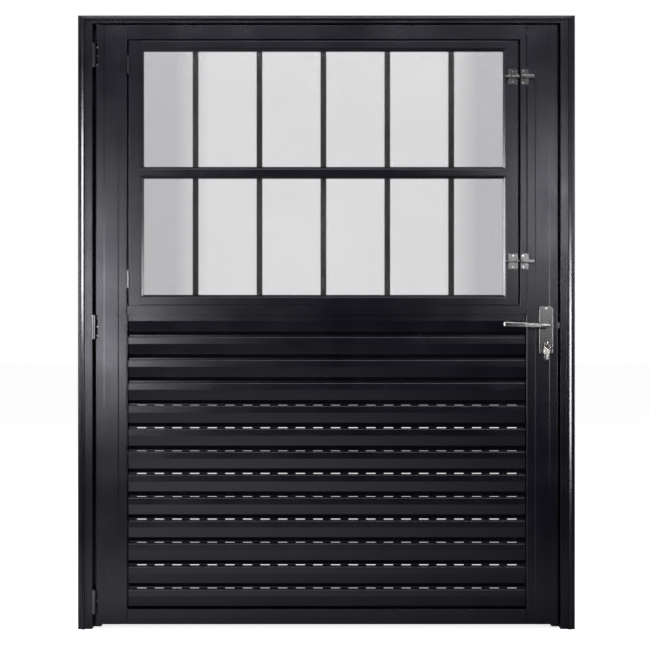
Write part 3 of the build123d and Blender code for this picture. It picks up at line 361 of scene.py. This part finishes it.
def inEditMode(piece, steps):
    # runs edit steps, each an operator and its settings, on what is selected in the mesh
    pick(piece)
    bpy.ops.object.mode_set(mode="EDIT")
    for operator, settings in steps:
        operator(**settings)
    bpy.ops.object.mode_set(mode="OBJECT")


def selectWhere(piece, kind, test):
    # selects by place: test gets the middle of each vertex or face
    inEditMode(piece, [
        (bpy.ops.mesh.select_mode, {"type": kind}),
        (bpy.ops.mesh.select_all, {"action": "DESELECT"}),
    ])
    if kind == "VERT":
        for vertex in piece.data.vertices:
            vertex.select = test(vertex.co)
    else:
        for face in piece.data.polygons:
            face.select = test(face.center)


def finishWith(piece, kind, settings):
    # adds a modifier and applies it
    pick(piece)
    step = piece.modifiers.new("step", kind)
    for setting, value in settings.items():
        setattr(step, setting, value)
    bpy.ops.object.modifier_apply(modifier=step.name)


def smooth(piece, degrees):
    pick(piece)
    bpy.ops.object.shade_smooth_by_angle(angle=math.radians(degrees))


def joined(things):
    pick(*things)
    bpy.ops.object.join()
    return bpy.context.view_layer.objects.active


def settle(piece, name, slot):
    # names a finished piece, puts its place into its mesh and gives it its finish
    fixPlace(piece)
    piece.name = name
    piece.data.name = name
    piece.data.materials.clear()
    piece.data.materials.append(finishes[slot])


def mergedCopy(nodeName):
    # a node's surface as a clean mesh: its loose triangles merged into flat faces
    piece = copyOf(nodes[nodeName].data, nodeName)
    inEditMode(piece, [
        (bpy.ops.mesh.select_all, {"action": "SELECT"}),
        (bpy.ops.mesh.remove_doubles, {"threshold": weld}),
        (bpy.ops.mesh.dissolve_limited, {"angle_limit": math.radians(flatWithin)}),
    ])
    return piece


def looseParts(nodeName):
    # each loose part of a node, as its lowest corner, its highest corner and its points
    copy = mergedCopy(nodeName)
    pick(copy)
    bpy.ops.mesh.separate(type="LOOSE")
    found = []
    for part in list(bpy.context.selected_objects):
        points = [vertex.co.copy() for vertex in part.data.vertices]
        low = Vector([min(point[axis] for point in points) for axis in range(3)])
        high = Vector([max(point[axis] for point in points) for axis in range(3)])
        found.append((low, high, points))
        bpy.data.objects.remove(part)
    return sorted(found, key=lambda entry: tuple(entry[0]))


# profiles whose corners are broken as extruding and coating leave them

bevel = {"segments": 2, "limit_method": "ANGLE", "angle_limit": math.radians(24)}
evenLight = {"weight": 100, "keep_sharp": True}  # flat faces stay flat in the light
softEdges = [
    # body, width of the broken edge, degrees up to which faces are smooth together, and nodes;
    # a casing's grooves lie 19 degrees off its flat band, so 15 keeps them crisp
    ("frame", 0.00035, 15, ("casing_left", "casing_right", "casing_top")),
    ("frame", 0.0004, 40, ("head_jamb",)),
    ("leaf", 0.0005, 40, ("rail_top", "rail_middle", "rail_bottom")),
    ("leaf", 0.0004, 40, ("closing_strip",)),
    ("vent", 0.0003, 40, ("vent_stile_hinge_side", "vent_stile_bolt_side")),
    ("vent", 0.0003, 40, ("vent_rail_top", "vent_rail_middle", "vent_rail_bottom")),
    ("vent", 0.0004, 40, ("glazing_beads",)),
]
for body, width, smoothUpTo, nodeNames in softEdges:
    for nodeName in nodeNames:
        profile = mergedCopy(nodeName)
        finishWith(profile, "BEVEL", {"width": width, **bevel})
        smooth(profile, smoothUpTo)
        finishWith(profile, "WEIGHTED_NORMAL", evenLight)
        settle(profile, "soft_" + nodeName, "black_paint")
        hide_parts(nodeName)
        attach(profile, body)
print("profiles softened")


# brush seals: a ribbed backing strip with dense tufts that point at the leaf

brushSeal = {
    "backing": 0.0008,
    "rib": 0.0006,  # side ribs of the backing
    "groove": 0.0003,  # how deep the backing is sunk between them
    "pitch": 0.0021,  # from tuft to tuft along the strip
    "rowPitch": 0.0014,
    "stagger": 0.5,  # share of a pitch that the rows shift along the strip
    "root": 0.00085,  # radius of a tuft at its root, and at its tip
    "tip": 0.00045,
    "ragged": 0.00035,
    "seed": 7,
}


def brushStrip(low, high):
    # one strip between two corners, along X or Z, whichever is longer
    size = high - low
    middle = (low + high) / 2
    back = high.y
    pileLength = size.y - brushSeal["backing"]
    backing = startWith(
        bpy.ops.mesh.primitive_cube_add,
        size=1, location=(middle.x, back - brushSeal["backing"] / 2, middle.z),
    )
    backing.scale = (size.x, brushSeal["backing"], size.z)
    fixPlace(backing)
    selectWhere(backing, "FACE", lambda point: point.y < back - almost * brushSeal["backing"])
    inEditMode(backing, [
        (bpy.ops.mesh.inset, {"thickness": brushSeal["rib"] / 2}),
        (bpy.ops.transform.translate, {"value": (0, brushSeal["groove"], 0)}),
    ])
    tufts = startWith(
        bpy.ops.mesh.primitive_cone_add,
        vertices=4, radius1=brushSeal["root"], radius2=brushSeal["tip"], depth=pileLength,
        rotation=(math.radians(90), 0, 0), location=(0, 0, 0),
    )
    fixPlace(tufts)
    along, across = (0, 2) if size.x > size.z else (2, 0)
    rows = max(2, int((size[across] - 2 * brushSeal["rib"]) / brushSeal["rowPitch"]) + 1)
    count = int((size[along] - 2 * brushSeal["root"]) / brushSeal["pitch"])
    step = Vector()
    step[along] = brushSeal["pitch"]
    rowStep = Vector()
    rowStep[across] = (size[across] - 2 * brushSeal["root"]) / (rows - 1)
    for number, offset in ((rows, rowStep + step * brushSeal["stagger"] / rows), (count, step)):
        finishWith(tufts, "ARRAY", {
            "count": number, "use_relative_offset": False, "use_constant_offset": True,
            "constant_offset_displace": offset,
        })
    reach = rowStep * (rows - 1) + step * (count - 1)
    centre = Vector((middle.x, back - brushSeal["backing"] - pileLength / 2, middle.z))
    tufts.location = centre - reach / 2
    fixPlace(tufts)
    selectWhere(tufts, "VERT", lambda point: point.y < back - almost * size.y)
    loose = {"offset": brushSeal["ragged"], "uniform": 1.0, "normal": 0.0, "seed": brushSeal["seed"]}
    inEditMode(tufts, [
        (bpy.ops.transform.vertex_random, loose),
        (bpy.ops.transform.translate, {"value": (0, brushSeal["ragged"], 0)}),  # back inside the strip
    ])
    return joined([tufts, backing])


brush = joined([brushStrip(*part[:2]) for part in looseParts("brush_seals")])
settle(brush, "brush_pile", "brush_pile")
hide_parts("brush_seals")
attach(brush, "frame")
print("brush seals made", len(brush.data.polygons))


# countersunk screws with a cross recess, one modelled and the rest copied to their holes

screwLook = {
    "sides": 24,
    "rim": 0.1,  # lengths along the screw, which each copy stretches to its own
    "cone": 0.42,
    "shank": 1.4,
    "recess": 0.42,
    "neck": 0.5,  # widths as shares of the head's radius: the shank's, and the recess's arms'
    "wing": 0.30,
    "reach": 0.62,  # how far the arms reach from the middle
    "taper": 0.45,  # the arms narrow to this share at the recess's floor
    "smooth": 35,  # degrees
}
screwLength = screwLook["rim"] + screwLook["cone"] + screwLook["shank"]
flush = 0.00005  # a point this near the plane of a screw's end is on it


def extrudeDown(length):
    # an edit step for inEditMode
    return bpy.ops.mesh.extrude_region_move, {"TRANSFORM_OT_translate": {"value": (0, 0, -length)}}


def crossScrew():
    # a screw of unit head radius, its head's face at the origin and its shank down Z
    neck, taper = screwLook["neck"], screwLook["taper"]
    screw = startWith(
        bpy.ops.mesh.primitive_cylinder_add,
        vertices=screwLook["sides"], radius=1, depth=1, location=(0, 0, -0.5),
    )
    fixPlace(screw)
    selectWhere(screw, "FACE", lambda point: point.z < -almost)
    inEditMode(screw, [
        (bpy.ops.transform.translate, {"value": (0, 0, 1 - screwLook["rim"])}),
        extrudeDown(screwLook["cone"]),
        (bpy.ops.transform.resize, {"value": (neck, neck, 1)}),
        extrudeDown(screwLook["shank"]),
    ])
    for turn in (0, 90):
        wing = startWith(bpy.ops.mesh.primitive_cube_add, size=1, location=(0, 0, 0))
        wing.scale = (2 * screwLook["reach"], screwLook["wing"], 2 * screwLook["recess"])
        wing.rotation_euler = (0, 0, math.radians(turn))
        fixPlace(wing)
        selectWhere(wing, "FACE", lambda point: point.z < -almost * screwLook["recess"])
        inEditMode(wing, [(bpy.ops.transform.resize, {"value": (taper, taper, 1)})])
        finishWith(screw, "BOOLEAN", {"operation": "DIFFERENCE", "object": wing})
        bpy.data.objects.remove(wing)
    smooth(screw, screwLook["smooth"])
    return screw


screwModel = crossScrew()


def placedScrew(name, low, high, points):
    # the screw in place of one of the node's, which has its head at its wider end
    size = high - low
    middle = (low + high) / 2
    axis = max(range(3), key=lambda index: size[index])
    across = [index for index in range(3) if index != axis]

    def spread(end):
        near = [point for point in points if abs(point[axis] - end) < flush]
        return max(math.hypot(*(point[index] - middle[index] for index in across)) for point in near)

    lowSpread, highSpread = spread(low[axis]), spread(high[axis])
    headLow = lowSpread > highSpread
    radius = max(lowSpread, highSpread)
    face = middle.copy()
    face[axis] = low[axis] if headLow else high[axis]
    outward = Vector()
    outward[axis] = -1 if headLow else 1
    screw = copyOf(screwModel.data, name)
    screw.scale = (radius, radius, size[axis] / screwLength)
    screw.rotation_mode = "QUATERNION"
    screw.rotation_quaternion = outward.to_track_quat("Z", "Y")
    screw.location = face
    fixPlace(screw)
    return screw


def dressScrews(nodeName, body, name):
    dressed = joined([placedScrew(name, *part) for part in looseParts(nodeName)])
    settle(dressed, name, slotOf[nodeName])
    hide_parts(nodeName)
    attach(dressed, body)


dressScrews("leaf_screws", "leaf", "leaf_cross_screws")
dressScrews("frame_screws", "frame", "frame_cross_screws")
dressScrews("vent_screws", "vent", "vent_cross_screws")
bpy.data.objects.remove(screwModel)
print("screws made")


# camera: level, square to the door, as in the photograph

view = {
    "distance": 4.5,
    "side": -0.005,
    "height": 1.041,
    "across": 2.223,  # width of the picture at the leaf's face
    "face": -0.024,  # where that face is, in Y
}
cameraData = bpy.data.cameras.new("camera")
cameraData.lens = cameraData.sensor_width * (view["distance"] + view["face"]) / view["across"]
camera = bpy.data.objects.new("camera", cameraData)
camera.location = (view["side"], -view["distance"], view["height"])
camera.rotation_euler = (math.radians(90), 0, 0)
bpy.context.scene.collection.objects.link(camera)
bpy.context.scene.camera = camera
bpy.context.scene.view_settings.view_transform = "Standard"


# lamps: place, the point they face, width and height, and watts

lamps = {
    "lampTop": ((0, -1.7, 3.3), (0, 0, 1.0), (2.6, 0.9), 95),
    "lampLeft": ((-3.23, -0.30, 1.56), (-0.84, 0, 1.38), (0.3, 1.0), 48),
    "lampRight": ((3.23, -0.30, 0.90), (0.84, 0, 0.95), (0.3, 1.0), 44),
    "lampFrontLeft": ((-1.50, -4.4, 0.94), (-0.75, 0, 0.99), (0.30, 0.7), 14),
    "lampFrontEdge": ((-1.75, -4.4, 1.66), (-0.85, 0, 1.35), (0.2, 0.8), 12),
    "lampFrontRight": ((1.60, -4.4, 1.80), (0.80, 0, 1.40), (0.35, 1.0), 14),
    "lampCornerLeft": ((-2.9, -2.0, 1.10), (-0.8, 0, 1.10), (1.0, 0.9), 44),
    "lampCornerRight": ((2.9, -2.0, 1.40), (0.8, 0, 1.20), (1.0, 1.4), 36),
}
for name, (spot, target, size, power) in lamps.items():
    lampData = bpy.data.lights.new(name, "AREA")
    lampData.shape = "RECTANGLE"
    lampData.size, lampData.size_y = size
    lampData.energy = power
    lamp = bpy.data.objects.new(name, lampData)
    lamp.location = spot
    lamp.rotation_euler = (Vector(target) - Vector(spot)).to_track_quat("-Z", "Y").to_euler()
    lamp.visible_camera = False
    lamp.visible_transmission = False  # nor seen through the glass
    bpy.context.scene.collection.objects.link(lamp)
print("camera and lamps placed")


# floor and surroundings: white where the camera or the glass sees them, and shaded in reflections, where the
# floor has a painted shadow by the door and painted light brighter at the left

studio = {
    "ambient": 0.36,
    "behindCamera": 0.03,  # what a shiny surface sees on the camera's side
    "skyTurn": (-0.3, 0.4),  # headings in Y between which that goes over to white
    "floorSize": 60,
    "floorDrop": 0.0005,  # the floor lies this far under the door
    "floorGlow": 0.76,  # added where the camera or the glass sees it
    "floorTone": (0.60, 0.60, 0.60),
    "floorDoorShadow": 0.35,  # painted shadow of the door: brightness by the door of the floor that reflections see
    "floorNear": (0.1, 0.8),  # distances from the door between which it grows to full
    "floorFar": (1.0, 2.3),  # and distances from the middle between which it ends
    "floorWidth": (-0.8, 0.8),
    "floorSides": (1.2, 0.35),  # painted light and shade: its brightness at the left and at the right of that width
}


def rays(finish):
    # rays straight from the camera or through the glass, and rays that a shiny surface has turned
    kinds = ("Is Camera Ray", "Is Transmission Ray", "Is Glossy Ray", "Glossy Depth")
    found = [finish.node("ShaderNodeLightPath", {}, {}, kind) for kind in kinds]
    cameraRay, throughRay, glossRay, turns = found
    turned = throughRay * finish.span(turns, 0.0, 1.0)
    return cameraRay.larger(throughRay - turned), (glossRay - throughRay).larger(turned)


sky = Finish(bpy.data.worlds.new("studio"))
bpy.context.scene.world = sky.owner
direct, glossRay = rays(sky)
heading = sky.part(sky.node("ShaderNodeTexCoord", {}, {}, "Generated"), "Y")
mirrored = sky.span(heading, *studio["skyTurn"], studio["behindCamera"], 1.0)
other = glossRay * mirrored + (1 - glossRay) * studio["ambient"]
level = direct + (1 - direct) * other
backdrop = sky.node("ShaderNodeBackground", {}, {"Color": (1, 1, 1, 1), "Strength": level})
sky.close(backdrop, "ShaderNodeOutputWorld")

floor = startWith(
    bpy.ops.mesh.primitive_plane_add, size=studio["floorSize"], location=(0, 0, -studio["floorDrop"]),
)
floor.name = "floor"
ground = newFinish("paleFloor")
direct, glossRay = rays(ground)
matt = ground.node("ShaderNodeBsdfDiffuse", {}, {"Color": (*studio["floorTone"], 1)})
glow = ground.node("ShaderNodeEmission", {}, {"Strength": direct * studio["floorGlow"]})
lit = ground.node("ShaderNodeAddShader", {}, {0: matt, 1: glow})
spot = ground.place()
away = ground.node("ShaderNodeVectorMath", {"operation": "LENGTH"}, {0: spot}, "Value")
# painted shadow of the door and painted light brighter at the left, in the floor that reflections see
paintedDoorShadow = ground.span(abs(ground.part(spot, "Y")), *studio["floorNear"], studio["floorDoorShadow"], 1.0)
side = ground.span(ground.part(spot, "X"), *studio["floorWidth"], *studio["floorSides"])
fade = ground.span(away, *studio["floorFar"], 1.0, studio["behindCamera"])
shine = ground.node("ShaderNodeEmission", {}, {"Strength": paintedDoorShadow * side * fade})
seen = ground.node("ShaderNodeMixShader", {}, {0: glossRay, 1: lit, 2: shine})
floor.data.materials.append(ground.close(seen))
print("studio made")
